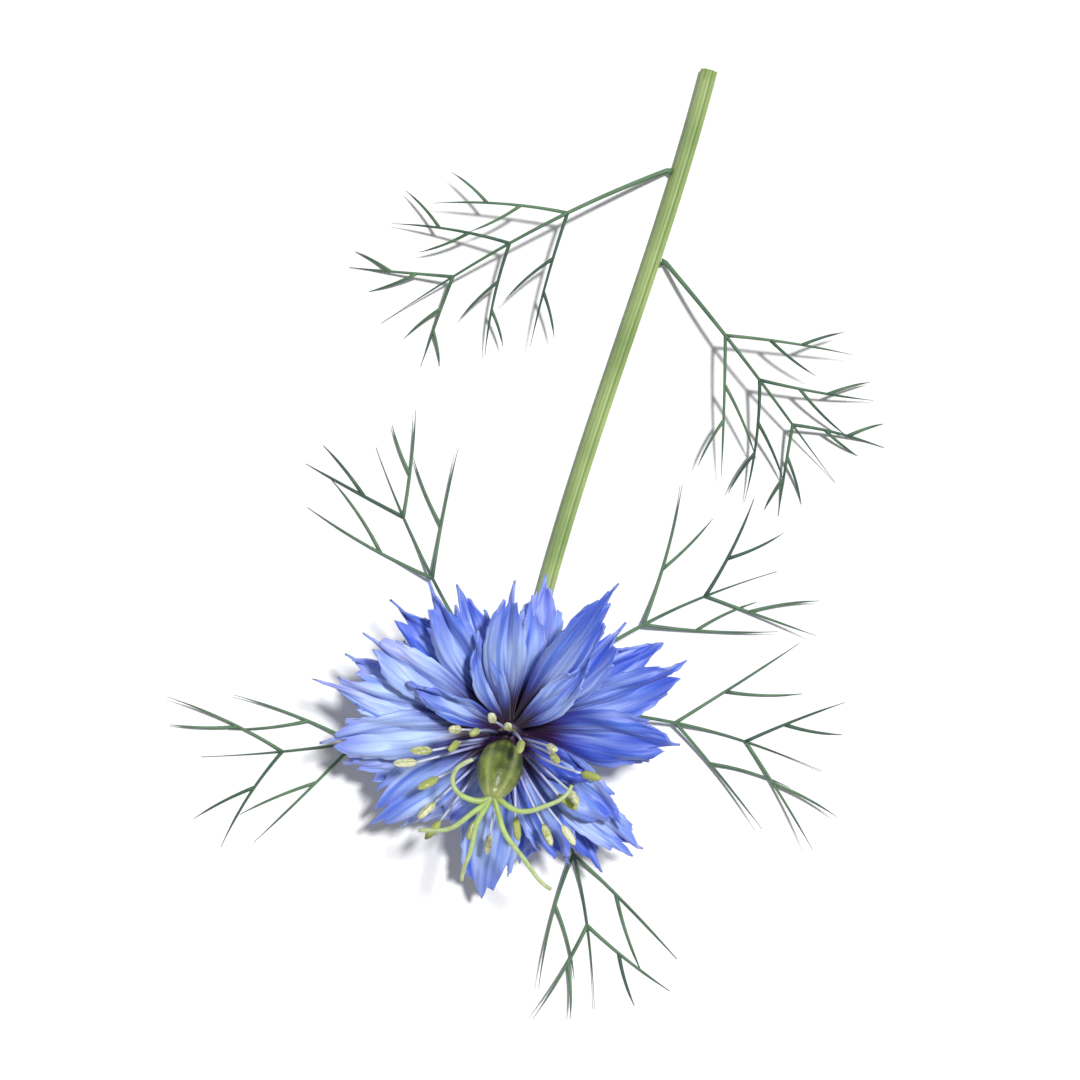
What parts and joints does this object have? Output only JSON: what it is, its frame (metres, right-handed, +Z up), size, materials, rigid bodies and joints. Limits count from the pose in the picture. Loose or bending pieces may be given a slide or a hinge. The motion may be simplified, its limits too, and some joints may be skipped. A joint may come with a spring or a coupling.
{
  "type": "love in a mist flower",
  "caption": "Cut love-in-a-mist flower lying down, with layered toothed blue sepals, stamens, a lobed green pistil, thread-like bracts and a leafy stem.",
  "frame": {"origin": "on the flat underside of the lying stem, 8 mm behind the place where the curved neck leaves the surface", "axes": "+Z up from the surface, +Y along the lying stem towards its cut end, so the bloom is at -Y, and +X to the right of the bloom seen from above with the stem pointing away"},
  "size_m": [0.0756, 0.1072, 0.026],
  "materials": {
    "stem": "fresh ribbed green stem, satin",
    "sepals": "thin sky-blue sepals with fine veins and dark purple claws, matte",
    "stamens": "pale lilac filaments with cream anthers, matte",
    "pistil": "fresh olive green ovary with light green styles, satin",
    "foliage": "dull grey-green threads, matte"
  },
  "bodies": {
    "root": {"stem": "stem", "sepals": "sepals", "stamens": "stamens", "pistil": "pistil", "bract_1": "foliage", "bract_2": "foliage", "bract_3": "foliage", "bract_4": "foliage", "bract_5": "foliage", "leaf_1": "foliage", "leaf_2": "foliage"}
  },
  "joints": []
}
